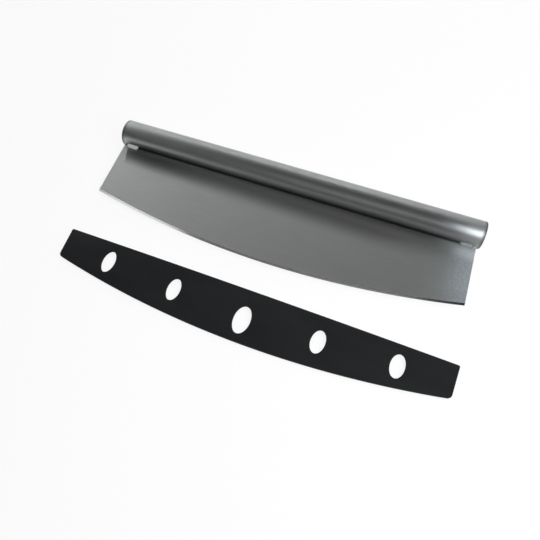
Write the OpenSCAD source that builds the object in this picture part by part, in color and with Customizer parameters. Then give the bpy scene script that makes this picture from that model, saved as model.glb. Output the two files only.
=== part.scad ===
// Rocking pizza knife. A curved steel blade is let into the underside of a round steel
// handle tube and welded there, and the tube is closed by a cap at each end. A flat
// plastic guard with oval holes slides over the cutting edge. It is drawn pulled off,
// lying in front of the knife in the plane of the blade. X runs along the handle, the
// handle lies at the back and the guard in front, and the tube and the guard's far edge
// touch the table at Z = 0.

/* [Handle] */
// Overall length of the handle, over both end caps
handle_len = 356; // [260:1:420]
// Outside diameter of the handle tube
handle_d = 25.4; // [20:0.1:34]
// Wall of the handle tube
handle_wall = 1; // [0.6:0.1:2]

/* [End caps] */
// Thickness of the cap's plate, which shows at the end of the handle
cap_plate = 3; // [2:0.1:5]
// Rounding of the cap's outer edge
cap_edge_r = 1.5; // [0.5:0.1:1.8]
// Depth of the cap's spigot inside the tube
cap_spigot = 5; // [3:0.1:8]
// Wall of the hollow spigot
cap_wall = 1.5; // [1:0.1:3]

/* [Blade] */
// Thickness of the blade plate
blade_t = 1.2; // [0.8:0.1:2.5]
// Height of the blade below the handle at mid-length
blade_mid_h = 74.3; // [50:0.1:100]
// How far the cutting edge curves down from its ends to its middle
edge_sag = 18.8; // [8:0.1:30]
// How far each side of the blade stands in from the end of the handle
blade_inset = 3.5; // [2:0.1:8]
// How much further out each side is at the cutting edge than at the handle
blade_flare = 3; // [0:0.1:8]
// Width of the ground bevel along the cutting edge
bevel_w = 2; // [1:0.1:5]
// Thickness left at the cutting edge
edge_t = 0.15; // [0.05:0.01:0.4]
// How far the blade's tang reaches into the handle, from the outside of the tube
tang_depth = 7; // [3:0.1:10]

/* [Welds] */
// Length of each weld bead
weld_len = 12; // [6:0.5:30]
// Radius of the bead in the corner between tube and blade
weld_r = 2.6; // [1.5:0.1:4]
// How far each bead starts in from the side of the blade
weld_inset = 2.5; // [0:0.1:10]

/* [Guard] */
// Wall of the guard on each face of the blade
guard_wall = 0.8; // [0.5:0.1:2]
// How far the guard reaches up over the blade from the middle of the cutting edge
guard_cover = 43.7; // [30:0.1:60]
// Solid web below the slot at mid-length
guard_web = 3; // [1.5:0.1:6]
// Solid web below the slot at each end
guard_end_web = 4.4; // [2:0.1:8]
// Solid wall at each end of the slot
guard_end_wall = 2.5; // [1.5:0.1:6]
// Rise of the guard's upper edge from its ends to its middle
guard_bow = 1; // [0.2:0.1:5]
// Rounding of the two lower corners
guard_corner_r = 4; // [1:0.1:8]
// Rounding of the two upper corners
guard_top_r = 1.5; // [0.5:0.1:4]

/* [Guard holes] */
// Distance between neighbouring holes
hole_pitch = 68.5; // [50:0.5:76]
// Width of a hole, along the guard
hole_w = 13; // [8:0.1:20]
// Height of a hole, across the guard
hole_h = 21; // [10:0.1:26]
// Width of the larger hole in the middle
mid_hole_w = 15.8; // [8:0.1:24]
// Height of the larger hole in the middle
mid_hole_h = 25.4; // [10:0.1:30]
// How far the middle hole sits below the middle of the guard's height
mid_hole_drop = 3.5; // [0:0.1:5]

/* [Guard laid out] */
// Gap between the cutting edge and the guard, at mid-length
guard_gap = 28.3; // [2:0.1:80]
// How far the guard lies off to the right
guard_shift = 1.9; // [-2:0.1:2]
// How far the guard lies turned, in degrees, right end away from the handle
guard_turn = 1; // [0:0.1:2]

/* [Fits] */
// Room between pieces that are welded or pressed together
weld_gap = 0.05; // [0.02:0.01:0.15]
// Room between the end of the tang and the cap's spigot
tang_play = 3.5; // [1:0.1:10]
// Room between blade and guard on each face
guard_side_play = 0.25; // [0.1:0.05:0.6]
// Room between the cutting edge and the bottom of the guard's slot
guard_edge_play = 1; // [0.5:0.1:4]
// Room between the side of the blade and the end of the guard's slot
guard_end_play = 4.5; // [3:0.1:10]

/* [Hidden] */
$fn = 96;
// Facets of the long shallow arc of the cutting edge, and points of each arc of an outline
edge_fn = 1440;
long_arc_steps = 60;
corner_steps = 8;
oval_steps = 48;
// Cuts run this far past the surfaces that they open
overrun = 1;
// The weld bead's centre line, below the tube and inside the blade's face
weld_drop = 0.7;
weld_sink = 0.5;

handle_r = handle_d / 2;
handle_half = handle_len / 2;
tube_half = handle_half - cap_plate;
bore_r = handle_r - handle_wall;

// The blade, measured down from the axis of the handle
blade_top = handle_r + weld_gap;
blade_bottom = handle_r + blade_mid_h;
blade_corner = blade_bottom - edge_sag;
blade_half = handle_half - blade_inset;
edge_half = blade_half + blade_flare;
edge_r = arc_radius(edge_half, edge_sag);
tang_half = tube_half - cap_spigot - tang_play;
tang_top = handle_r - tang_depth;
slot_w = blade_t + 2 * weld_gap;

// The guard, measured down from the middle of its upper edge
slot_half = edge_half + guard_end_play;
slot_depth = guard_cover + guard_edge_play;
slot_r = edge_r + guard_edge_play;
slot_t = blade_t + 2 * guard_side_play;
guard_t = slot_t + 2 * guard_wall;
guard_half = slot_half + guard_end_wall;
guard_mid_h = slot_depth + guard_web;
guard_end_h = slot_depth - arc_rise(slot_r, slot_half) + guard_end_web;
guard_r = arc_radius(guard_half, guard_mid_h - guard_end_h);
guard_bow_r = arc_radius(guard_half, guard_bow);

// Where the guard lies, and the slope of the plane that blade and guard share
guard_top = blade_bottom + guard_gap;
guard_reach = guard_top + guard_r - (guard_r - guard_mid_h) * cos(guard_turn);
guard_under = guard_t / 2;
lie_angle = asin(handle_r / norm([guard_reach, guard_under])) - atan2(guard_under, guard_reach);
axis_y = (guard_reach * cos(lie_angle) + guard_under * sin(lie_angle) - handle_r) / 2;

// Radius of an arc from half its chord and its rise, and the rise at a distance from its middle
function arc_radius(half, rise) = (half * half + rise * rise) / (2 * rise);
function arc_rise(r, x) = r - sqrt(r * r - x * x);
// Points of an arc about a centre, from angle a to angle b, with both ends or without them
function arc_points(centre, r, a, b, steps, skip = 0) = [
    for (i = [skip : steps - skip])
        let (angle = a + (b - a) * i / steps)
        centre + r * [cos(angle), sin(angle)]
];

// Carries the knife's own plane, handle axis along X and blade towards -Y, to the table
module lie_on_table() {
    translate([0, axis_y, handle_r])
        rotate([lie_angle, 0, 0])
            children();
}

module along_handle(length, r) {
    rotate([0, 90, 0])
        cylinder(r = r, h = length, center = true);
}

// Handle tube, slotted underneath for the tang
module handle_tube() {
    color("#8b8e8f")
        lie_on_table()
            difference() {
                along_handle(2 * tube_half, handle_r);
                along_handle(2 * (tube_half + overrun), bore_r);
                translate([-tang_half - weld_gap, -handle_r - overrun, -slot_w / 2])
                    cube([2 * (tang_half + weld_gap), handle_r + overrun, slot_w]);
            }
}

// Half section of an end cap: a plate with a rounded edge and a hollow spigot behind it
module cap_section() {
    spigot_r = bore_r - weld_gap;
    square([handle_r, cap_plate - cap_edge_r]);
    square([handle_r - cap_edge_r, cap_plate]);
    translate([handle_r - cap_edge_r, cap_plate - cap_edge_r])
        circle(r = cap_edge_r);
    translate([spigot_r - cap_wall, -cap_spigot])
        square([cap_wall, cap_spigot + cap_plate / 2]);
}

module end_cap() {
    translate([tube_half, 0, 0])
        rotate([0, 90, 0])
            rotate_extrude()
                cap_section();
}

module end_cap_right() {
    color("#7c7f81")
        lie_on_table()
            end_cap();
}

module end_cap_left() {
    color("#7c7f81")
        lie_on_table()
            mirror([1, 0, 0])
                end_cap();
}

// The disc whose ground rim is the cutting edge
module edge_disc() {
    rotate_extrude($fn = edge_fn)
        polygon([
            [0, -blade_t / 2],
            [edge_r - bevel_w, -blade_t / 2],
            [edge_r, -edge_t / 2],
            [edge_r, edge_t / 2],
            [edge_r - bevel_w, blade_t / 2],
            [0, blade_t / 2]
        ]);
}

// The blade's outline above its edge: tang, shoulders under the tube, and flared sides
module blade_outline() {
    below = blade_bottom + overrun;
    flare_slope = blade_flare / (blade_corner - blade_top);
    foot_half = edge_half + flare_slope * (below - blade_corner);
    polygon([
        [-tang_half, -tang_top],
        [-tang_half, -blade_top],
        [-blade_half, -blade_top],
        [-foot_half, -below],
        [foot_half, -below],
        [blade_half, -blade_top],
        [tang_half, -blade_top],
        [tang_half, -tang_top]
    ]);
}

module blade() {
    color("#7d8081")
        lie_on_table()
            intersection() {
                translate([0, edge_r - blade_bottom, 0])
                    edge_disc();
                linear_extrude(height = blade_t + 2 * overrun, center = true)
                    blade_outline();
            }
}

// Weld bead on the right of the front face, in the corner between tube and blade
module weld_bead() {
    bead_y = -handle_r - weld_drop;
    face = blade_t / 2 + weld_gap;
    straight = weld_len - 2 * weld_r;
    translate([blade_half - weld_inset - weld_len / 2, 0, 0])
        difference() {
            translate([0, bead_y, blade_t / 2 - weld_sink]) {
                along_handle(straight, weld_r);
                for (side = [-1, 1])
                    translate([side * straight / 2, 0, 0])
                        sphere(r = weld_r);
            }
            along_handle(weld_len + 2 * overrun, handle_r + weld_gap);
            translate([-weld_len, bead_y - 2 * weld_r, face - 2 * weld_r])
                cube([2 * weld_len, 4 * weld_r, 2 * weld_r]);
        }
}

module weld_front_right() {
    color("#a3a6a8")
        lie_on_table()
            weld_bead();
}

module weld_front_left() {
    color("#a3a6a8")
        lie_on_table()
            mirror([1, 0, 0])
                weld_bead();
}

module weld_back_right() {
    color("#a3a6a8")
        lie_on_table()
            mirror([0, 0, 1])
                weld_bead();
}

module weld_back_left() {
    color("#a3a6a8")
        lie_on_table()
            rotate([0, 180, 0])
                weld_bead();
}

// Guard outline: a long arc below, a shallow arc above, square ends, four rounded corners
module guard_outline() {
    low_centre = [0, guard_r - guard_mid_h];
    low_x = guard_half - guard_corner_r;
    low_y = low_centre.y - sqrt(pow(guard_r - guard_corner_r, 2) - low_x * low_x);
    low_angle = atan2(low_y - low_centre.y, low_x);
    high_centre = [0, -guard_bow_r];
    high_x = guard_half - guard_top_r;
    high_y = high_centre.y + sqrt(pow(guard_bow_r - guard_top_r, 2) - high_x * high_x);
    high_angle = atan2(high_y - high_centre.y, high_x);
    polygon(concat(
        arc_points(low_centre, guard_r, -180 - low_angle, low_angle, long_arc_steps, 1),
        arc_points([low_x, low_y], guard_corner_r, low_angle, 0, corner_steps),
        arc_points([high_x, high_y], guard_top_r, 0, high_angle, corner_steps),
        arc_points(high_centre, guard_bow_r, high_angle, 180 - high_angle, long_arc_steps, 1),
        arc_points([-high_x, high_y], guard_top_r, 180 - high_angle, 180, corner_steps),
        arc_points([-low_x, low_y], guard_corner_r, -180, -180 - low_angle, corner_steps)
    ));
}

// The slot that takes the blade: its bottom runs beside the cutting edge
module slot_outline() {
    slot_angle = asin(slot_half / slot_r);
    polygon(concat(
        arc_points([0, slot_r - slot_depth], slot_r, -90 - slot_angle, -90 + slot_angle, long_arc_steps),
        [[slot_half, overrun], [-slot_half, overrun]]
    ));
}

module oval(width, height) {
    polygon([
        for (i = [0 : oval_steps - 1])
            let (angle = 360 * i / oval_steps)
            [width * cos(angle), height * sin(angle)] / 2
    ]);
}

// Height of the middle of the guard at a distance from its centre
function guard_middle(x) = -(arc_rise(guard_bow_r, x) + guard_mid_h - arc_rise(guard_r, x)) / 2;

module guard_holes() {
    for (place = [-2, -1, 1, 2])
        translate([place * hole_pitch, guard_middle(place * hole_pitch)])
            oval(hole_w, hole_h);
    translate([0, guard_middle(0) - mid_hole_drop])
        oval(mid_hole_w, mid_hole_h);
}

module blade_guard() {
    color("#202223")
        lie_on_table()
            translate([guard_shift, -guard_top, 0])
                rotate([0, 0, -guard_turn])
                    difference() {
                        linear_extrude(height = guard_t, center = true)
                            guard_outline();
                        linear_extrude(height = slot_t, center = true)
                            slot_outline();
                        linear_extrude(height = guard_t + 2 * overrun, center = true)
                            guard_holes();
                    }
}

handle_tube();
end_cap_left();
end_cap_right();
blade();
weld_front_left();
weld_front_right();
weld_back_left();
weld_back_right();
blade_guard();
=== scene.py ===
import math

import bmesh
import bpy
from mathutils import Matrix, Vector


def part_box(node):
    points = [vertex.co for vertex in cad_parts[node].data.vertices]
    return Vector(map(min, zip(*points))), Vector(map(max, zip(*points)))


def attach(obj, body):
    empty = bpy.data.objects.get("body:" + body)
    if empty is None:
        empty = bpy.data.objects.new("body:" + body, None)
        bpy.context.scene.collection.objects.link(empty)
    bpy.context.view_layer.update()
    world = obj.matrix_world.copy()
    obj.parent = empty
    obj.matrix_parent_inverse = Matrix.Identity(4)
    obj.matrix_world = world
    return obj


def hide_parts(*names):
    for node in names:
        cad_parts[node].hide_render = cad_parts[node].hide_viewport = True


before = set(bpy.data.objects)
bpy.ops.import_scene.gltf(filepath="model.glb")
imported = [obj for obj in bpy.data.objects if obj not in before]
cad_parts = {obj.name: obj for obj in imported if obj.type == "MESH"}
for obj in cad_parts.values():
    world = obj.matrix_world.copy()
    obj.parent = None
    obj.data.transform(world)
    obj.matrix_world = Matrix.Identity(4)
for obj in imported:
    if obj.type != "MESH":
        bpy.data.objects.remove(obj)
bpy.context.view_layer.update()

# Handle tube
# A length of welded stainless tube, 25.4 mm across with a 1 mm wall. Its underside is cut by a
# narrow slot that takes the blade's tang. The outside was ground lengthwise on a belt.

MM = 0.001
TUBE_R = 12.7 * MM
TUBE_WALL = 1 * MM
TUBE_HALF = 175 * MM
SLOT_HALF = 166.55 * MM
ROUND_STEPS = 128
# Tube and cap both lose this much at their rims, which draws the seam between them
TUBE_SEAM = 0.1 * MM
# Vertices closer than this are merged
MERGE_DIST = 1e-6

# A grinding belt's lines as they are drawn: how far apart, and how many times longer along X
BELT_LINE = 0.75 * MM
BELT_STRETCH = (40, 1, 1)

# The tube's painted shade and reflection underneath, darkest towards the left. Each pair gives
# where it has no share and where it has its full share, or its first and its second tone: down
# from the handle's axis, or along it.
SHADE_DOWN = (0.76 * TUBE_R, 0.92 * TUBE_R)
SHADE_LEFT = (-174 * MM, -165 * MM)
SHADE_RIGHT = (150 * MM, 90 * MM)
SHADE_TONES = (-165 * MM, -60 * MM)

# The knife slopes down from its handle. Its shapes are drawn in its own plane: X along the
# handle's axis, the blade towards -Y and its front face towards +Z. This carries them to the
# table, where DOWN is down the blade and ALONG is along the handle, to the right.
LIE_ANGLE = math.radians(3.885247)
tube_low, tube_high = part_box("handle_tube")
handle_axis = Vector((0, (tube_low.y + tube_high.y) / 2, (tube_low.z + tube_high.z) / 2))
KNIFE_PLANE = Matrix.Translation(handle_axis) @ Matrix.Rotation(LIE_ANGLE, 4, "X")
DOWN = -KNIFE_PLANE.col[1].xyz
ALONG = KNIFE_PLANE.col[0].xyz


def linear(hex_colour):
    """An sRGB hex value as the linear colour that a shader takes."""
    channels = [int(hex_colour[i:i + 2], 16) / 255 for i in (1, 3, 5)]
    return [c / 12.92 if c <= 0.04045 else ((c + 0.055) / 1.055) ** 2.4 for c in channels] + [1.0]


def add_node(tree, kind, settings=(), inputs=()):
    """Adds a node, sets its properties and fills its sockets with values or with links."""
    node = tree.nodes.new(kind)
    for name, value in dict(settings).items():
        setattr(node, name, value)
    for socket, value in dict(inputs).items():
        if isinstance(value, bpy.types.NodeSocket):
            tree.links.new(value, node.inputs[socket])
        else:
            node.inputs[socket].default_value = value
    return node


def new_finish(name, constants):
    """A material with one Principled shader, whose constants sit on its own sockets."""
    material = bpy.data.materials.new(name)
    material.use_nodes = True
    tree = material.node_tree
    tree.nodes.clear()
    shader = add_node(tree, "ShaderNodeBsdfPrincipled", inputs=constants)
    add_node(tree, "ShaderNodeOutputMaterial", inputs={"Surface": shader.outputs["BSDF"]})
    return material, tree, shader


def grain(tree, period, stretch, detail=2.0):
    """Noise whose features are about one period wide, drawn out along the axes in stretch."""
    place = add_node(tree, "ShaderNodeTexCoord")
    scale = [1 / (period * s) for s in stretch]
    mapping = add_node(
        tree, "ShaderNodeMapping", inputs={"Vector": place.outputs["Object"], "Scale": scale},
    )
    noise = add_node(
        tree, "ShaderNodeTexNoise",
        inputs={
            "Vector": mapping.outputs["Vector"], "Scale": 1.0, "Detail": detail, "Roughness": 0.55,
        },
    )
    return noise.outputs["Fac"]


def spread(tree, value, low, high):
    """Noise lies mostly between 0.3 and 0.7. This carries that to the range from low to high."""
    node = add_node(
        tree, "ShaderNodeMapRange",
        inputs={"Value": value, "From Min": 0.3, "From Max": 0.7, "To Min": low, "To Max": high},
    )
    return node.outputs["Result"]


def blend_colours(tree, share, first, second):
    """The colour that lies the share, from 0 to 1, of the way from the first to the second.
    A Mix node names its sockets alike for every kind, so the ones for colours go by number."""
    node = add_node(
        tree, "ShaderNodeMix", settings={"data_type": "RGBA"},
        inputs={0: share, 6: first, 7: second},
    )
    return node.outputs[2]


def from_middle(tree):
    """A point's place, measured from the middle of the handle's axis."""
    place = add_node(tree, "ShaderNodeTexCoord")
    offset = add_node(
        tree, "ShaderNodeVectorMath", settings={"operation": "SUBTRACT"},
        inputs={0: place.outputs["Object"], 1: handle_axis},
    )
    return offset.outputs["Vector"]


def ramp(tree, value, start, end, low=0.0, high=1.0):
    """Low where the value is at start, high where it is at end, and eased between them."""
    node = add_node(
        tree, "ShaderNodeMapRange", settings={"interpolation_type": "SMOOTHSTEP"},
        inputs={"Value": value, "From Min": start, "From Max": end, "To Min": low, "To Max": high},
    )
    return node.outputs["Result"]


def reach(tree, start, end, direction=DOWN):
    """How far a point has come from start, 0, to end, 1. Both are measured from the middle of
    the handle's axis, along a direction that is down the blade where none is given."""
    distance = add_node(
        tree, "ShaderNodeVectorMath", settings={"operation": "DOT_PRODUCT"},
        inputs={0: from_middle(tree), 1: direction},
    )
    return ramp(tree, distance.outputs["Value"], start, end)


def vary_gloss(tree, shader, fine, waver, coarse, low, high):
    """Roughness from low to high by a coarse pattern, give or take the waver of a fine one."""
    rough = add_node(
        tree, "ShaderNodeMath", settings={"operation": "ADD"},
        inputs={0: spread(tree, fine, -waver, waver), 1: spread(tree, coarse, low, high)},
    )
    tree.links.new(rough.outputs["Value"], shader.inputs["Roughness"])


def raise_bumps(tree, shader, height, depth, strength):
    """Lets the surface rise and fall with a pattern, by a depth in metres."""
    bump = add_node(
        tree, "ShaderNodeBump", inputs={"Height": height, "Distance": depth, "Strength": strength},
    )
    tree.links.new(bump.outputs["Normal"], shader.inputs["Normal"])


def piece_from(bm, name, materials, body, node, crease=32):
    """Makes the finished piece of a bmesh drawn in the knife's plane, sets it on its body and hides
    the CAD part that it stands for. Edges that turn by more than crease, in degrees, stay sharp."""
    bmesh.ops.transform(bm, matrix=KNIFE_PLANE, verts=bm.verts)
    bmesh.ops.recalc_face_normals(bm, faces=bm.faces)
    for face in bm.faces:
        face.smooth = True
    for edge in bm.edges:
        edge.smooth = not edge.is_manifold or edge.calc_face_angle(0) < math.radians(crease)
    mesh = bpy.data.meshes.new(name)
    bm.to_mesh(mesh)
    bm.free()
    for material in materials:
        mesh.materials.append(material)
    piece = bpy.data.objects.new(name, mesh)
    bpy.context.scene.collection.objects.link(piece)
    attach(piece, body)
    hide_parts(node)


def closed_section(bm, points):
    """A ring of edges through points of the XY plane."""
    verts = [bm.verts.new((x, y, 0)) for x, y in points]
    return [bm.edges.new((a, b)) for a, b in zip(verts, verts[1:] + verts[:1])]


def turned(bm, edges):
    """Spins a half section, drawn in the XY plane, once round the handle's axis."""
    bmesh.ops.spin(
        bm, geom=edges, cent=(0, 0, 0), axis=(1, 0, 0), angle=math.tau, steps=ROUND_STEPS,
        use_merge=True,
    )
    bmesh.ops.remove_doubles(bm, verts=bm.verts, dist=MERGE_DIST)


def satin_tube_finish():
    """Satin-ground stainless steel. The belt ran along the tube, so its fine lines do too, 0.2 mm
    apart, drawn 0.75 mm apart to show at all. The gloss is soft and a little patchy. The darker
    tone underneath, darkest towards the left, is painted shade and reflection, fitted to the
    photograph."""
    material, tree, shader = new_finish("satin_ground_stainless_tube", {"Metallic": 1.0})
    lines = grain(tree, BELT_LINE, BELT_STRETCH)
    patches = grain(tree, 22 * MM, (2.0, 1, 1))
    tone = blend_colours(tree, spread(tree, patches, 0, 1), linear("#ABADAE"), linear("#B2B4B4"))
    # Painted shade and reflection underneath, darker towards the left and fading out at both ends
    lengthwise = reach(tree, *SHADE_TONES, ALONG)
    underside_shade = blend_colours(tree, lengthwise, linear("#7E8080"), linear("#989A9B"))
    shaded = blend_colours(tree, reach(tree, *SHADE_DOWN), tone, underside_shade)
    shaded = blend_colours(tree, reach(tree, *SHADE_RIGHT, ALONG), tone, shaded)
    tone = blend_colours(tree, reach(tree, *SHADE_LEFT, ALONG), tone, shaded)
    tree.links.new(tone, shader.inputs["Base Color"])
    vary_gloss(tree, shader, fine=lines, waver=0.03, coarse=patches, low=0.48, high=0.52)
    raise_bumps(tree, shader, lines, depth=0.006 * MM, strength=0.6)
    return material


bm = bmesh.new()
bore_r = TUBE_R - TUBE_WALL
wall_section = [
    (-TUBE_HALF, bore_r), (-TUBE_HALF, TUBE_R - TUBE_SEAM), (-TUBE_HALF + TUBE_SEAM, TUBE_R),
    (-SLOT_HALF, TUBE_R), (SLOT_HALF, TUBE_R),
    (TUBE_HALF - TUBE_SEAM, TUBE_R), (TUBE_HALF, TUBE_R - TUBE_SEAM), (TUBE_HALF, bore_r),
    (SLOT_HALF, bore_r), (-SLOT_HALF, bore_r),
]
turned(bm, closed_section(bm, wall_section))
# The slot takes the place of the faces on both sides of the tube's lowest line
step_width = math.tau * TUBE_R / ROUND_STEPS
slot_faces = [
    f for f in bm.faces
    if abs(f.calc_center_median().x) < SLOT_HALF / 2
    and f.calc_center_median().y < 0
    and abs(f.calc_center_median().z) < step_width
]
bmesh.ops.delete(bm, geom=slot_faces, context="FACES")
bmesh.ops.bridge_loops(bm, edges=[e for e in bm.edges if e.is_boundary])
piece_from(bm, "tube_satin", [satin_tube_finish()], "knife", "handle_tube")

# End caps
# Two turned steel discs with rounded rims, pushed into the ends of the tube on a short hollow
# spigot and welded round. They were faced on a lathe, so their finish is coarser and darker,
# and their rims carry painted shade where the tube's highlight stops.

CAP_PLATE = 3 * MM
CAP_EDGE_R = 1.5 * MM
CAP_SPIGOT = 5 * MM
CAP_WALL = 1.5 * MM
CAP_SEAM = 0.1 * MM
RIM_BLEND = 2.4 * MM
# Pieces that meet keep this far apart, so that none of them clash
FIT_GAP = 0.05 * MM
# A Wave texture turns by 20 radians in one unit of its scaled coordinates
RING_SPACING = 0.5 * MM
RING_SCALE = math.tau / 20 / RING_SPACING
# Two places closer than this count as one
SAME_PLACE = 1e-7


def turned_cap_finish():
    """Faced stainless steel: rings 0.25 mm apart from the lathe, drawn 0.5 mm apart, around the
    middle of the disc. The rim starts in the tone of the tube and darkens to the duller face,
    partly a darker finish and partly painted shade where the tube's highlight stops."""
    material, tree, shader = new_finish("faced_stainless_cap", {"Metallic": 1.0})
    centred = from_middle(tree)
    rings = add_node(
        tree, "ShaderNodeTexWave",
        settings={"wave_type": "RINGS", "rings_direction": "X", "wave_profile": "SIN"},
        inputs={"Vector": centred, "Scale": RING_SCALE, "Distortion": 0.6, "Detail": 2.0},
    )
    patches = grain(tree, 6 * MM, (1, 1, 1))
    face_tone = blend_colours(tree, spread(tree, patches, 0, 1), linear("#5E6264"), linear("#686C6E"))
    along = add_node(tree, "ShaderNodeSeparateXYZ", inputs={"Vector": centred})
    outward = add_node(
        tree, "ShaderNodeMath", settings={"operation": "ABSOLUTE"}, inputs={0: along.outputs["X"]},
    )
    # Partly painted shade: darker past the rim, where the tube's highlight stops
    past_rim = ramp(tree, outward.outputs["Value"], TUBE_HALF, TUBE_HALF + RIM_BLEND)
    tone = blend_colours(tree, past_rim, linear("#9FA2A3"), face_tone)
    tree.links.new(tone, shader.inputs["Base Color"])
    tree.links.new(spread(tree, patches, 0.55, 0.62), shader.inputs["Roughness"])
    raise_bumps(tree, shader, rings.outputs["Fac"], depth=0.01 * MM, strength=0.5)
    return material


cap_finish = turned_cap_finish()
face_x = TUBE_HALF + CAP_PLATE
spigot_x = TUBE_HALF - CAP_SPIGOT
spigot_r = bore_r - FIT_GAP
cap_section = [
    (TUBE_HALF, spigot_r), (TUBE_HALF, TUBE_R - CAP_SEAM), (TUBE_HALF + CAP_SEAM, TUBE_R),
    (face_x, TUBE_R), (face_x, 0), (TUBE_HALF, 0),
    (TUBE_HALF, spigot_r - CAP_WALL), (spigot_x, spigot_r - CAP_WALL), (spigot_x, spigot_r),
]
for side, end in ((-1, "left"), (1, "right")):
    bm = bmesh.new()
    edges = closed_section(bm, [(side * x, r) for x, r in cap_section])
    corner = [
        v for v in bm.verts
        if abs(abs(v.co.x) - face_x) < SAME_PLACE and v.co.y > TUBE_R - SAME_PLACE
    ]
    bmesh.ops.bevel(
        bm, geom=corner, affect="VERTICES", offset=CAP_EDGE_R, offset_type="OFFSET",
        segments=8, profile=0.5, material=-1,
    )
    axis_edges = [e for e in bm.edges if all(abs(v.co.y) < SAME_PLACE for v in e.verts)]
    bmesh.ops.delete(bm, geom=axis_edges, context="EDGES")
    turned(bm, bm.edges[:])
    piece_from(bm, "cap_" + end, [cap_finish], "knife", "end_cap_" + end)

# Blade
# A plate of stainless steel, 1.2 mm thick, cut with flared sides and a long curved edge that is
# ground thin from both faces. It was brushed along its length. A tang goes up into the tube.

BLADE_T = 1.2 * MM
BLADE_TOP = 12.75 * MM
BLADE_BOTTOM = 87 * MM
BLADE_CORNER = 68.2 * MM
BLADE_HALF = 174.5 * MM
TANG_HALF = 166.5 * MM
TANG_TOP = 5.7 * MM
EDGE_HALF = 177.5 * MM
EDGE_R = 847.3303 * MM
EDGE_T = 0.15 * MM
EDGE_STEPS = 240
SWEEP_SPARE = 1.02
BEVEL_W = 2 * MM

# The blade's shades. Each pair gives where one has no share and where it has its full share, or
# its first and its second tone: down from the handle's axis, or along it from the middle.
# First the darker strip below the tube, a painted shadow of the tube, which slants down to the
# right.
STRIP_SLOPE = 0.03
STRIP_TURNS = (TUBE_R + 5 * MM, TUBE_R + 12 * MM)
STRIP_FOOT = (TUBE_R + 28 * MM, TUBE_R + 14 * MM)
STRIP_RIGHT = (150 * MM, 75 * MM)
STRIP_TONES = (-165 * MM, -40 * MM)
# Then the right end: speckled wear, paler by a painted sheen, with a painted glint near the tube
WEAR_SHEEN_DOWN = (TUBE_R + 2 * MM, TUBE_R + 8 * MM)
WEAR_SHEEN_LEFT = (151 * MM, 163 * MM)
GLINT_FOOT = (TUBE_R + 18 * MM, TUBE_R + 9 * MM)
# Then the painted shade in the corner between tube and blade, and the slanted line at the left
# where all of these painted shades stop, the edge of the painted shadow below the tube's end
CORNER_SHADE_FOOT = (TUBE_R + 3.2 * MM, TUBE_R + 0.7 * MM)
CORNER_SHADE_RIGHT = (172 * MM, 160 * MM)
STOP_SLOPE = 0.26
STOP_LEFT = (-175.3 * MM, -173.9 * MM)


def brushed_blade_finish():
    """Brushed stainless sheet. The belt ran along the blade, so its lines do too, 0.15 mm apart,
    drawn 0.75 mm apart. They smear reflections across the blade and not along it. The darker
    strip below the tube is a painted shadow of the tube, and the dark corner under it is painted
    shade. The paler right end is speckled wear with a painted sheen, and a painted glint near the
    tube. These tones were fitted to the photograph."""
    material, tree, shader = new_finish("brushed_stainless_sheet", {"Metallic": 1.0})
    lines = grain(tree, BELT_LINE, BELT_STRETCH)
    patches = grain(tree, 30 * MM, (1.5, 1, 1))
    brushed = blend_colours(tree, spread(tree, lines, 0, 1), linear("#C9CBCA"), linear("#D3D5D4"))
    # The darker strip below the tube is a painted shadow of the tube, darkest towards the left
    slanted = DOWN - STRIP_SLOPE * ALONG
    lengthwise = reach(tree, *STRIP_TONES, ALONG)
    shadow_tones = blend_colours(tree, lengthwise, linear("#7A7C7B"), linear("#B0B2B1"))
    shadow_strip = blend_colours(tree, reach(tree, *STRIP_TURNS, slanted), linear("#CACCCB"), shadow_tones)
    tone = blend_colours(tree, reach(tree, *STRIP_FOOT, slanted), brushed, shadow_strip)
    tone = blend_colours(tree, reach(tree, *STRIP_RIGHT, ALONG), brushed, tone)
    # The right end: speckled wear, paler by a painted sheen, with a painted glint near the tube
    scuffs = spread(tree, grain(tree, 0.9 * MM, (2, 1, 1), detail=3.0), 0, 1)
    scuffs_and_sheen = blend_colours(tree, scuffs, linear("#C2C5C6"), linear("#DEE1E2"))
    glint = blend_colours(tree, scuffs, linear("#E0E4E5"), linear("#F4F6F7"))
    wear_and_sheen = blend_colours(tree, reach(tree, *GLINT_FOOT), scuffs_and_sheen, glint)
    wear_and_sheen = blend_colours(tree, reach(tree, *WEAR_SHEEN_DOWN), tone, wear_and_sheen)
    tone = blend_colours(tree, reach(tree, *WEAR_SHEEN_LEFT, ALONG), tone, wear_and_sheen)
    # Painted shade in the corner under the tube
    corner = blend_colours(tree, reach(tree, *CORNER_SHADE_FOOT), tone, linear("#565858"))
    tone = blend_colours(tree, reach(tree, *CORNER_SHADE_RIGHT, ALONG), tone, corner)
    # All the painted shades end at the left in the slanted edge of the tube end's shadow
    stopping = ALONG - STOP_SLOPE * DOWN
    tone = blend_colours(tree, reach(tree, *STOP_LEFT, stopping), brushed, tone)
    tree.links.new(tone, shader.inputs["Base Color"])
    vary_gloss(tree, shader, fine=lines, waver=0.03, coarse=patches, low=0.65, high=0.7)
    raise_bumps(tree, shader, lines, depth=0.006 * MM, strength=0.6)
    return material


def ground_bevel_finish():
    """The edge's ground bevel: scratches 0.1 mm apart that run from the face to the edge, drawn
    0.3 mm apart. It is glossier than the brushed face, so it shows as a bright line."""
    material, tree, shader = new_finish("ground_stainless_bevel", {"Metallic": 1.0})
    scratches = grain(tree, 0.3 * MM, (1, 20, 20))
    tone = blend_colours(tree, spread(tree, scratches, 0, 1), linear("#C8CACA"), linear("#D4D6D6"))
    tree.links.new(tone, shader.inputs["Base Color"])
    tree.links.new(spread(tree, scratches, 0.13, 0.19), shader.inputs["Roughness"])
    raise_bumps(tree, shader, scratches, depth=0.004 * MM, strength=0.5)
    return material


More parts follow.
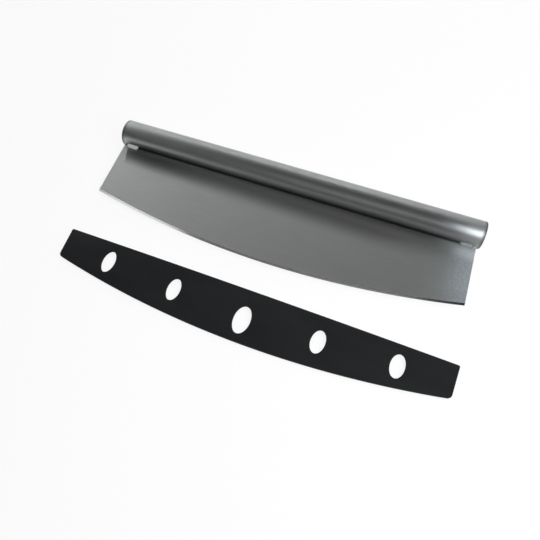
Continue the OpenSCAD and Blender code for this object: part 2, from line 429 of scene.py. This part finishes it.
def whole(bm):
    """Everything in a bmesh, as its operators take it."""
    return bm.verts[:] + bm.edges[:] + bm.faces[:]


def cut_away(bm, point, normal):
    """Cuts a closed solid through by a plane, drops what lies beyond it and closes the cut."""
    cut = bmesh.ops.bisect_plane(
        bm, geom=whole(bm), dist=SAME_PLACE, plane_co=point, plane_no=normal, clear_outer=True,
    )["geom_cut"]
    edges = [g for g in cut if isinstance(g, bmesh.types.BMEdge) and g.is_boundary]
    bmesh.ops.holes_fill(bm, edges=edges, sides=0)


# The blade's section, from the handle's axis down to the edge, is swept about the centre of the
# edge's arc. The sweep passes both sides by a little, which their cuts then take off.
bm = bmesh.new()
edge_centre = Vector((0, EDGE_R - BLADE_BOTTOM, 0))
inner_r = edge_centre.y
sweep = math.asin(EDGE_HALF / inner_r) * SWEEP_SPARE
section = [
    (-inner_r, -BLADE_T / 2), (-inner_r, BLADE_T / 2), (-EDGE_R + BEVEL_W, BLADE_T / 2),
    (-EDGE_R, EDGE_T / 2), (-EDGE_R, -EDGE_T / 2), (-EDGE_R + BEVEL_W, -BLADE_T / 2),
]
ring = [bm.verts.new((0, edge_centre.y + y, z)) for y, z in section]
start = bm.faces.new(ring)
bmesh.ops.rotate(bm, cent=edge_centre, matrix=Matrix.Rotation(-sweep, 3, "Z"), verts=bm.verts)
bmesh.ops.spin(
    bm, geom=[start], cent=edge_centre, axis=(0, 0, 1), angle=2 * sweep, steps=EDGE_STEPS,
    use_merge=False, use_normal_flip=False, use_duplicate=False,
)
flare = Vector((BLADE_CORNER - BLADE_TOP, EDGE_HALF - BLADE_HALF))
for side in (-1, 1):
    cut_away(bm, (side * EDGE_HALF, -BLADE_CORNER, 0), (side * flare.x, flare.y, 0))
cut_away(bm, (0, -TANG_TOP, 0), (0, 1, 0))

# The plate is scored along its shoulders and the tang's sides, and the two corners come out
for point, normal in (
    ((0, -BLADE_TOP, 0), (0, 1, 0)),
    ((TANG_HALF, 0, 0), (1, 0, 0)),
    ((-TANG_HALF, 0, 0), (-1, 0, 0)),
):
    bmesh.ops.bisect_plane(bm, geom=whole(bm), dist=SAME_PLACE, plane_co=point, plane_no=normal)
shoulders = [
    f for f in bm.faces
    if f.calc_center_median().y > -BLADE_TOP + MERGE_DIST
    and abs(f.calc_center_median().x) > TANG_HALF + MERGE_DIST
]
bmesh.ops.delete(bm, geom=shoulders, context="FACES")
bmesh.ops.holes_fill(bm, edges=[e for e in bm.edges if e.is_boundary], sides=0)
bmesh.ops.triangulate(bm, faces=[f for f in bm.faces if len(f.verts) > 4], ngon_method="BEAUTY")

# The bevel's faces have their middles past this radius, a hair beyond the line where it starts
bevel_r = EDGE_R - BEVEL_W * 0.98
for face in bm.faces:
    middle = face.calc_center_median()
    radius = (Vector((middle.x, middle.y, 0)) - edge_centre).length
    face.material_index = 1 if radius > bevel_r else 0
piece_from(
    bm, "blade_brushed", [brushed_blade_finish(), ground_bevel_finish()],
    "knife", "blade", crease=8,
)

# Weld beads
# Four short fillet welds, one near each end of the joint on each face of the blade. Each is a
# row of small overlapping ripples of steel, laid in the corner between tube and blade.

WELD_LEN = 12 * MM
WELD_INSET = 2.5 * MM
WELD_LEG = 3.2 * MM
# How many legs the bead's toe on the tube stands off the blade
TOE_OFF = 0.5
TOE_STEPS = 4
# How far its face swells between the toes, in legs, and which way in Y and Z
BULGE = 0.12
BULGE_WAY = (-0.75, 0.66)
BULGE_STEPS = 7
# How far apart the ripples are, the steps each is drawn in, and the share it shrinks by
RIPPLE = 1.0 * MM
RIPPLE_STEPS = 5
RIPPLE_DIP = 0.03
# A bead ends at END_SIZE of its full section. It rounds off past END_FROM of its half length,
# on an ellipse that has fallen by END_DROP, in squares, where the bead stops.
END_SIZE = 0.35
END_FROM = 0.72
END_DROP = 0.88


def weld_metal_finish(name, shadow_tones, bright):
    """Weld metal between a dull and a bright tone, matte and a little uneven. Its low Metallic is
    a stand-in that lets it scatter light where the sheet round it mirrors the dark corner."""
    material, tree, shader = new_finish(name, {"Metallic": 0.3})
    patches = grain(tree, 1.2 * MM, (1, 1, 1), detail=3.0)
    tone = blend_colours(tree, spread(tree, patches, 0, 1), linear(shadow_tones), linear(bright))
    tree.links.new(tone, shader.inputs["Base Color"])
    tree.links.new(spread(tree, patches, 0.5, 0.62), shader.inputs["Roughness"])
    raise_bumps(tree, shader, patches, depth=0.03 * MM, strength=0.5)
    return material


# The photograph shows a whitish bead at the left and a grey one at the right. They are taken to
# be blasted and dressed, and both sides of the blade alike.
weld_finishes = {
    "left": weld_metal_finish("pale_weld_metal", "#C6C9C9", "#D6D8D8"),
    "right": weld_metal_finish("grey_weld_metal", "#747778", "#828586"),
}

# A bead's section: the corner where the blade meets the tube, the toe on the blade, the swollen
# face, and from the toe on the tube back along the tube
seat_r = TUBE_R + FIT_GAP
face_z = BLADE_T / 2 + FIT_GAP
corner_y = -math.sqrt(seat_r ** 2 - face_z ** 2)
corner_angle = math.asin(face_z / seat_r)
toe_angle = math.asin((face_z + WELD_LEG * TOE_OFF) / seat_r)
toe_y = corner_y - WELD_LEG
end_y = -seat_r * math.cos(toe_angle)
end_z = seat_r * math.sin(toe_angle)
weld_section = [(corner_y, face_z), (toe_y, face_z)]
for i in range(1, BULGE_STEPS):
    t = i / BULGE_STEPS
    bulge = BULGE * WELD_LEG * math.sin(math.pi * t)
    y = toe_y + (end_y - toe_y) * t + bulge * BULGE_WAY[0]
    z = face_z + (end_z - face_z) * t + bulge * BULGE_WAY[1]
    weld_section.append((y, z))
for i in range(TOE_STEPS - 1):
    t = i / TOE_STEPS
    angle = toe_angle * (1 - t) + corner_angle * t
    weld_section.append((-seat_r * math.cos(angle), seat_r * math.sin(angle)))

weld_x = BLADE_HALF - WELD_INSET
anchor = Matrix.Translation((0, -corner_y, -face_z))
weld_steps = int(WELD_LEN / RIPPLE * RIPPLE_STEPS)
for x_side, x_name in ((-1, "left"), (1, "right")):
    for z_side, z_name in ((1, "front"), (-1, "back")):
        bm = bmesh.new()
        geom = [bm.faces.new([bm.verts.new((weld_x, y, z)) for y, z in weld_section])]
        bmesh.ops.scale(bm, vec=(1, END_SIZE, END_SIZE), space=anchor, verts=bm.verts)
        size = END_SIZE
        inside = []
        for i in range(1, weld_steps + 1):
            past_round = max(0.0, abs(2 * i / weld_steps - 1) - END_FROM) / (1 - END_FROM)
            end_round = math.sqrt(max(0.0, 1 - END_DROP * past_round ** 2))
            ripple = 1 - RIPPLE_DIP * (i % RIPPLE_STEPS) / RIPPLE_STEPS
            wanted = max(END_SIZE, end_round * ripple)
            grown = bmesh.ops.extrude_face_region(bm, geom=geom)["geom"]
            if i > 1:
                inside += geom
            geom = [g for g in grown if isinstance(g, bmesh.types.BMFace)]
            verts = list({v for f in geom for v in f.verts})
            bmesh.ops.translate(bm, vec=(-WELD_LEN / weld_steps, 0, 0), verts=verts)
            bmesh.ops.scale(bm, vec=(1, wanted / size, wanted / size), space=anchor, verts=verts)
            size = wanted
        bmesh.ops.delete(bm, geom=inside, context="FACES_ONLY")
        bmesh.ops.scale(bm, vec=(x_side, 1, z_side), verts=bm.verts)
        weld = f"weld_{z_name}_{x_name}"
        piece_from(bm, weld + "_bead", [weld_finishes[x_name]], "knife", weld)

# Blade guard
# One moulded sheath of black polypropylene, 3.3 mm thick, with a slot along its upper edge for
# the blade and five oval holes through both walls. Its rims are softly rounded by the mould.

GUARD_T = 3.3 * MM
GUARD_HALF = 184.5 * MM
GUARD_MID_H = 47.7 * MM
GUARD_R = 936.5539 * MM
GUARD_BOW = 1 * MM
GUARD_CORNER_R = 4 * MM
GUARD_TOP_R = 1.5 * MM
GUARD_ROUND = 0.35 * MM
GUARD_SLOT_T = 1.7 * MM
GUARD_SLOT_HALF = 182 * MM
GUARD_SLOT_DEPTH = 44.7 * MM
GUARD_EDGE_PLAY = 1 * MM
GUARD_SLOT_R = EDGE_R + GUARD_EDGE_PLAY
HOLE_PITCH = 68.5 * MM
HOLE_SIZE = (13 * MM, 21 * MM)
MID_HOLE_SIZE = (15.8 * MM, 25.4 * MM)
MID_HOLE_DROP = 3.5 * MM
ARC_STEPS = 90
OVAL_STEPS = 56
CORNER_STEPS = 8
CORNER_CLEAR = 0.5 * MM

# Where it lies, drawn off the blade: below the handle's axis, to the right, and a little turned
GUARD_TOP = 115.3 * MM
GUARD_SHIFT = 1.9 * MM
GUARD_TURN = math.radians(1)


def moulded_guard_finish():
    """Matte black polypropylene out of a spark-eroded mould: a fine even tooth, 0.15 mm across
    and drawn 0.3 mm across, with paler scuffs where it rubs in a drawer."""
    material, tree, shader = new_finish(
        "matte_black_polypropylene", {"IOR": 1.49, "Specular IOR Level": 0.09},
    )
    tooth = grain(tree, 0.3 * MM, (1, 1, 1), detail=3.0)
    scuffs = grain(tree, 14 * MM, (5, 1, 1), detail=4.0)
    tone = blend_colours(tree, spread(tree, scuffs, 0, 1), linear("#1D1F20"), linear("#212324"))
    tree.links.new(tone, shader.inputs["Base Color"])
    vary_gloss(tree, shader, fine=tooth, waver=0.04, coarse=scuffs, low=0.4, high=0.48)
    raise_bumps(tree, shader, tooth, depth=0.02 * MM, strength=0.6)
    return material


def arc_rise(radius, x):
    """How far an arc has risen at x from its lowest point."""
    return radius - math.sqrt(radius * radius - x * x)


bow_r = (GUARD_HALF ** 2 + GUARD_BOW ** 2) / (2 * GUARD_BOW)


def top_y(x):
    """The guard's upper edge, which bows down by GUARD_BOW towards its ends."""
    return -arc_rise(bow_r, x)


def bottom_y(x):
    """The guard's lower edge."""
    return -GUARD_MID_H + arc_rise(GUARD_R, x)


def across(half):
    """The places from -half to half at which an arc is drawn."""
    return [-half + 2 * half * i / ARC_STEPS for i in range(ARC_STEPS + 1)]


def path_through(bm, points):
    """The vertices and edges of an open line through points of the XY plane."""
    verts = [bm.verts.new((x, y, 0)) for x, y in points]
    return verts, [bm.edges.new(pair) for pair in zip(verts, verts[1:])]


def corner_points(x, y, radius, start_angle):
    """A rounded corner of an outline, about its own centre, over a quarter turn."""
    angles = [start_angle + math.pi / 2 * i / CORNER_STEPS for i in range(CORNER_STEPS + 1)]
    return [(x + radius * math.cos(a), y + radius * math.sin(a)) for a in angles]


# The outline runs from the upper left corner round below to the upper right one, and the slot's
# line from its left end down along its floor to its right end
low_cx = GUARD_HALF - GUARD_CORNER_R
low_cy = -GUARD_MID_H + GUARD_R - math.sqrt((GUARD_R - GUARD_CORNER_R) ** 2 - low_cx ** 2)
high_cx = GUARD_HALF - GUARD_TOP_R
high_cy = top_y(high_cx) - GUARD_TOP_R
right_corners = (
    corner_points(low_cx, low_cy, GUARD_CORNER_R, -math.pi / 2)
    + corner_points(high_cx, high_cy, GUARD_TOP_R, 0)
)
left_corners = [(-x, y) for x, y in reversed(right_corners)]
bottom = [(x, bottom_y(x)) for x in across(GUARD_HALF) if abs(x) < low_cx - CORNER_CLEAR]
slot_xs = across(GUARD_SLOT_HALF)
slot_line = (
    [(-GUARD_SLOT_HALF, top_y(GUARD_SLOT_HALF))]
    + [(x, -GUARD_SLOT_DEPTH + arc_rise(GUARD_SLOT_R, x)) for x in slot_xs]
    + [(GUARD_SLOT_HALF, top_y(GUARD_SLOT_HALF))]
)

# A flat sheet comes first: the web round the slot, marked 1 for now, and the window over the
# slot, with its five holes
bm = bmesh.new()
slot_verts, slot_edges = path_through(bm, slot_line)
outer_verts, outer_edges = path_through(bm, left_corners + bottom + right_corners)
web_edges = slot_edges + outer_edges + [
    bm.edges.new((outer_verts[0], slot_verts[0])), bm.edges.new((outer_verts[-1], slot_verts[-1])),
]
web = bmesh.ops.triangle_fill(bm, use_beauty=True, edges=web_edges)["geom"]
for face in web:
    if isinstance(face, bmesh.types.BMFace):
        face.material_index = 1
top_verts, top_edges = path_through(bm, [(x, top_y(x)) for x in reversed(slot_xs[1:-1])])
window_edges = slot_edges + top_edges + [
    bm.edges.new((slot_verts[-1], top_verts[0])), bm.edges.new((top_verts[-1], slot_verts[0])),
]
turn = [math.tau * i / OVAL_STEPS for i in range(OVAL_STEPS)]
for place in (-2, -1, 0, 1, 2):
    x = place * HOLE_PITCH
    width, height = HOLE_SIZE if place else MID_HOLE_SIZE
    middle = (top_y(x) + bottom_y(x)) / 2 - (0 if place else MID_HOLE_DROP)
    window_edges += closed_section(
        bm, [(x + width / 2 * math.cos(a), middle + height / 2 * math.sin(a)) for a in turn],
    )
bmesh.ops.triangle_fill(bm, use_beauty=True, edges=window_edges)
bmesh.ops.recalc_face_normals(bm, faces=bm.faces)
if bm.faces[0].normal.z < 0:
    bmesh.ops.reverse_faces(bm, faces=bm.faces)
slot_z = GUARD_SLOT_T / 2
bmesh.ops.translate(bm, vec=(0, 0, slot_z), verts=bm.verts)

# One wall is raised from the sheet, and its rims are rounded in three steps
raised = bmesh.ops.extrude_face_region(bm, geom=bm.faces[:])["geom"]
raised_faces = [g for g in raised if isinstance(g, bmesh.types.BMFace)]
raised_verts = [g for g in raised if isinstance(g, bmesh.types.BMVert)]
bmesh.ops.translate(bm, vec=(0, 0, GUARD_T / 2 - GUARD_ROUND - slot_z), verts=raised_verts)
rim_angles = [math.radians(a) for a in (0, 30, 60, 90)]
for a, b in zip(rim_angles, rim_angles[1:]):
    bmesh.ops.inset_region(
        bm, faces=raised_faces, use_boundary=True, use_even_offset=True,
        thickness=GUARD_ROUND * (math.cos(a) - math.cos(b)),
        depth=GUARD_ROUND * (math.sin(b) - math.sin(a)),
    )

# The web goes down to the middle of the guard's thickness, where a mirror adds the other half
lower = [
    f for f in bm.faces
    if f.material_index == 1 and all(abs(v.co.z - slot_z) < SAME_PLACE for v in f.verts)
]
bmesh.ops.recalc_face_normals(bm, faces=bm.faces)
dropped = bmesh.ops.extrude_face_region(bm, geom=lower)["geom"]
dropped_faces = [g for g in dropped if isinstance(g, bmesh.types.BMFace)]
dropped_verts = [g for g in dropped if isinstance(g, bmesh.types.BMVert)]
bmesh.ops.translate(bm, vec=(0, 0, -slot_z), verts=dropped_verts)
bmesh.ops.delete(bm, geom=dropped_faces, context="FACES_ONLY")
bmesh.ops.delete(bm, geom=[f for f in lower if f.is_valid], context="FACES_ONLY")
bmesh.ops.mirror(bm, geom=whole(bm), axis="Z", merge_dist=MERGE_DIST)
bmesh.ops.remove_doubles(bm, verts=bm.verts, dist=MERGE_DIST)
for face in bm.faces:
    face.material_index = 0
guard_place = Matrix.Translation((GUARD_SHIFT, -GUARD_TOP, 0)) @ Matrix.Rotation(-GUARD_TURN, 4, "Z")
bmesh.ops.transform(bm, matrix=guard_place, verts=bm.verts)
piece_from(bm, "guard_moulded", [moulded_guard_finish()], "guard", "blade_guard")

# Studio
# A white table in a room that is white round the horizon and dark overhead. Of eleven softboxes,
# placed for the photograph's highlights, three light everything, six show only in what is
# glossy, and two light only what is matte.

FLOOR_HALF = 12.0
# To the eye and in reflections, this share of the table's white is its own and no lamp's
FLOOR_GLOW = 0.85
# The room's light fades between these heights, as the sine of the angle above the horizon
HORIZON = (0.02, 0.12)
CEILING_LIGHT = 0.018


def studio_floor():
    """The white table, which keeps the object's shadow."""
    bm = bmesh.new()
    bmesh.ops.create_grid(bm, x_segments=1, y_segments=1, size=FLOOR_HALF)
    mesh = bpy.data.meshes.new("studio_floor")
    bm.to_mesh(mesh)
    bm.free()
    material = bpy.data.materials.new("white_table")
    material.use_nodes = True
    tree = material.node_tree
    tree.nodes.clear()
    paint = add_node(tree, "ShaderNodeBsdfDiffuse", inputs={"Color": linear("#FAFAFA")})
    glow = add_node(tree, "ShaderNodeEmission", inputs={"Color": linear("#FFFFFF"), "Strength": 1.0})
    path = add_node(tree, "ShaderNodeLightPath")
    seen = path.outputs["Is Camera Ray"]
    for ray in ("Is Glossy Ray", "Is Transmission Ray"):
        seen = add_node(
            tree, "ShaderNodeMath", settings={"operation": "MAXIMUM"},
            inputs={0: seen, 1: path.outputs[ray]},
        ).outputs["Value"]
    share = add_node(
        tree, "ShaderNodeMath", settings={"operation": "MULTIPLY"}, inputs={0: seen, 1: FLOOR_GLOW},
    )
    both = add_node(
        tree, "ShaderNodeMixShader",
        inputs={0: share.outputs["Value"], 1: paint.outputs["BSDF"], 2: glow.outputs["Emission"]},
    )
    add_node(tree, "ShaderNodeOutputMaterial", inputs={"Surface": both.outputs["Shader"]})
    mesh.materials.append(material)
    floor = bpy.data.objects.new("studio_floor", mesh)
    bpy.context.scene.collection.objects.link(floor)


def studio_room():
    """White round the horizon, fading up to a dark ceiling."""
    world = bpy.data.worlds.new("studio_room")
    world.use_nodes = True
    tree = world.node_tree
    tree.nodes.clear()
    place = add_node(tree, "ShaderNodeTexCoord")
    axes = add_node(tree, "ShaderNodeSeparateXYZ", inputs={"Vector": place.outputs["Generated"]})
    strength = ramp(tree, axes.outputs["Z"], *HORIZON, low=1.0, high=CEILING_LIGHT)
    sky = add_node(
        tree, "ShaderNodeBackground", inputs={"Color": linear("#FFFFFF"), "Strength": strength},
    )
    add_node(tree, "ShaderNodeOutputWorld", inputs={"Surface": sky.outputs["Background"]})
    bpy.context.scene.world = world


def softbox(
    name, place, target, size, watts, tint=(1, 1, 1), beam=180, mirrored=True, on_matte=True,
):
    """A lamp of a size in metres that faces its target and isn't seen itself. Its light spreads
    over the beam, in degrees. It shows in gloss where mirrored, and lights what is matte where
    on_matte."""
    light = bpy.data.lights.new(name, "AREA")
    light.shape = "RECTANGLE"
    light.size, light.size_y = size
    light.energy = watts
    light.color = tint
    light.spread = math.radians(beam)
    lamp = bpy.data.objects.new(name, light)
    lamp.location = place
    lamp.visible_glossy = mirrored
    lamp.visible_diffuse = on_matte
    lamp.visible_camera = False
    lamp.rotation_euler = (Vector(target) - Vector(place)).to_track_quat("-Z", "Y").to_euler()
    bpy.context.scene.collection.objects.link(lamp)


studio_floor()
studio_room()
softbox("softbox_left", (-0.864, 0.466, 0.284), (0, 0.05, 0), (0.48, 0.13), 4.4, on_matte=False)
softbox("softbox_back", (-0.13, 0.92, 0.475), (0, 0.05, 0), (0.95, 0.16), 2.1)
softbox("softbox_right", (0.63, 0.59, 0.54), (0, 0.05, 0), (0.3, 0.15), 0.6)
softbox("softbox_front", (0.15, -0.47, 0.85), (0.05, 0.05, 0), (0.6, 0.3), 0.72)
softbox("softbox_low", (-0.62, -0.68, 0.1), (-0.16, 0.07, 0.01), (0.25, 0.12), 0.33, on_matte=False)
softbox("softbox_edge", (-0.49, -0.15, 0.6), (-0.49, -0.15, 0), (0.28, 0.075), 0.09, on_matte=False)
softbox("softbox_middle", (-0.05, -0.17, 0.6), (-0.05, -0.17, 0), (0.6, 0.07), 0.033, on_matte=False)
softbox(
    "softbox_near", (0.192, 0.052, 0.072), (0.176, 0.084, 0.022), (0.04, 0.04), 0.007,
    tint=(0.9, 0.96, 1), beam=60, on_matte=False,
)
softbox(
    "softbox_end", (0.21, 0.052, 0.11), (0.192, 0.032, 0.01), (0.03, 0.05), 0.002,
    tint=(0.75, 0.88, 1), beam=46, on_matte=False,
)
softbox("softbox_above", (0.2, 0.2, 1.6), (0, 0, 0), (1.6, 1.6), 17, mirrored=False)
softbox("softbox_matte", (0.42, -0.12, 0.45), (0.1, -0.06, 0), (0.3, 0.3), 1.6, mirrored=False)

# Camera
# The photograph's viewpoint, above and in front, a little to the right. Its place, directions
# and lens, in mm as its sensor is, were fitted to the outlines of tube, blade and guard.

CAMERA_PLACE = Vector((0.09424, -0.18134, 0.44497))
CAMERA_RIGHT = Vector((0.93576, 0.34902, -0.05068))
CAMERA_DOWN = Vector((0.30371, -0.87063, -0.38713))
CAMERA_LENS = 35.38
SENSOR_WIDTH = 36
CLIP_START = 0.01

camera_data = bpy.data.cameras.new("camera")
camera_data.lens = CAMERA_LENS
camera_data.sensor_width = SENSOR_WIDTH
camera_data.clip_start = CLIP_START
camera = bpy.data.objects.new("camera", camera_data)
right = CAMERA_RIGHT.normalized()
up = (-CAMERA_DOWN - (-CAMERA_DOWN).dot(right) * right).normalized()
facing = Matrix((right, up, right.cross(up))).transposed().to_4x4()
camera.matrix_world = Matrix.Translation(CAMERA_PLACE) @ facing
bpy.context.scene.collection.objects.link(camera)
bpy.context.scene.camera = camera
bpy.context.scene.view_settings.view_transform = "Standard"
